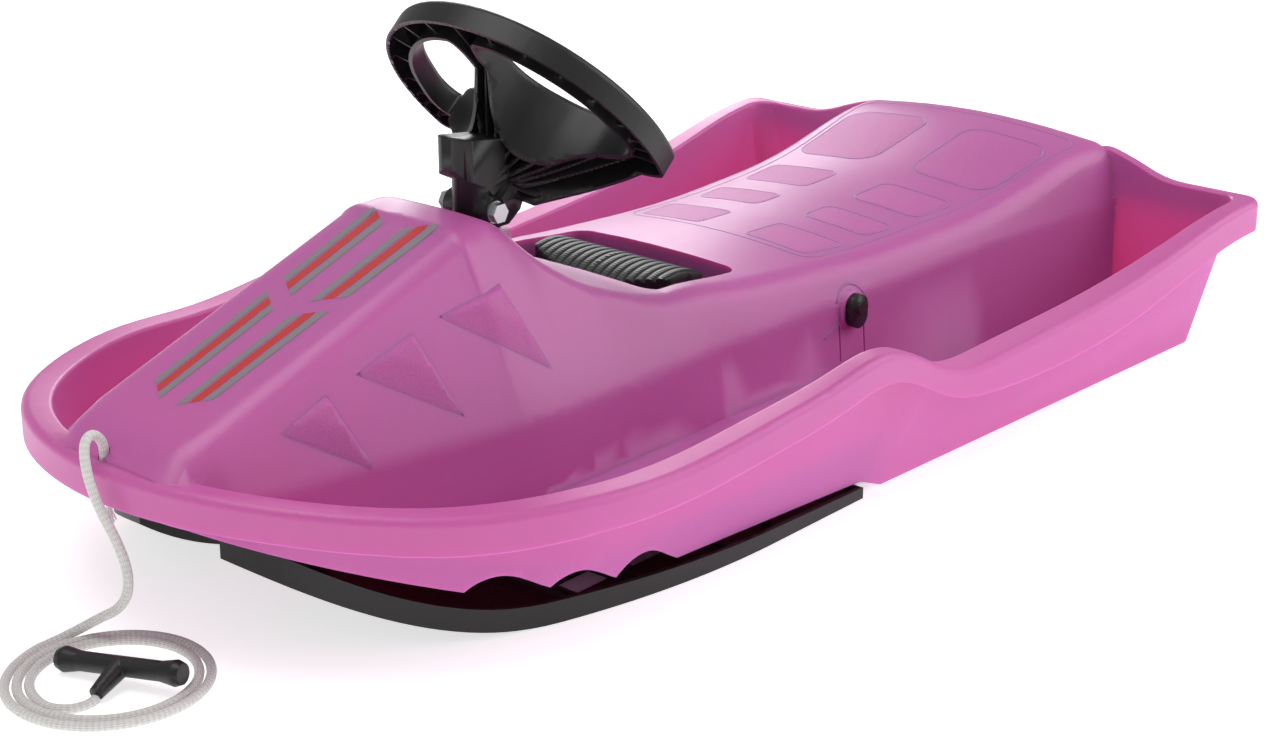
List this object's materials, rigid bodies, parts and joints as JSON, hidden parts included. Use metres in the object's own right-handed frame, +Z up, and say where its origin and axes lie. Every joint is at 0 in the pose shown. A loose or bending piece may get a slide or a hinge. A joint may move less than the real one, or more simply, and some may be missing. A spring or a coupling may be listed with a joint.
{
  "type": "steering sled",
  "caption": "Moulded plastic snow sled with a raked steering wheel that turns a forked ski under the nose, a lift-up claw brake in the seat and a coiled pull rope.",
  "frame": {"origin": "on the ground under the middle of the sled, in its plane of symmetry", "axes": "+X forward to the nose, +Y to the driver's left, +Z up"},
  "size_m": [1.1017, 0.5528, 0.3648],
  "materials": {
    "hull_plastic": "satin gloss moulding",
    "black_plastic": "satin moulding",
    "zinc_steel": "bright zinc plate",
    "bush_nylon": "matt",
    "claw_steel": "zinc plate",
    "rope_fibre": "braided"
  },
  "bodies": {
    "hull": {"body_shell": "hull_plastic", "column_bush_upper": "bush_nylon", "column_bush_lower": "bush_nylon", "bearing_crossmember": "black_plastic", "crossmember_screws": "zinc_steel", "brake_pivot_left": "black_plastic", "brake_pivot_right": "black_plastic", "rope_knot": "rope_fibre", "rope_lead": "rope_fibre", "rope_coil": "rope_fibre", "pull_handle": "black_plastic"},
    "steering": {"steering_wheel": "black_plastic", "steering_column": "zinc_steel", "wheel_bolt": "zinc_steel", "wheel_nut": "zinc_steel", "wheel_washers": "zinc_steel", "hub_washer": "bush_nylon", "steering_ski": "black_plastic", "ski_bolt": "zinc_steel", "ski_nut": "zinc_steel", "ski_washers": "zinc_steel", "thrust_washer": "bush_nylon"},
    "brake": {"brake_yoke": "black_plastic", "brake_grip": "black_plastic", "grip_screws": "zinc_steel", "brake_claw": "claw_steel", "claw_rivets": "zinc_steel", "brake_spring": "zinc_steel"}
  },
  "joints": [
    {"name": "steer", "type": "hinge", "parent": "hull", "child": "steering", "pos_m": [0.166, 0, 0.1], "axis": [0, 0, 1], "range_deg": [-12, 12]},
    {"name": "brake_lift", "type": "hinge", "parent": "hull", "child": "brake", "pos_m": [-0.121, 0, 0.095], "axis": [0, -1, 0], "range_deg": [0, 18], "stiffness_Nm_per_rad": 2, "springref_deg": -17.19}
  ]
}
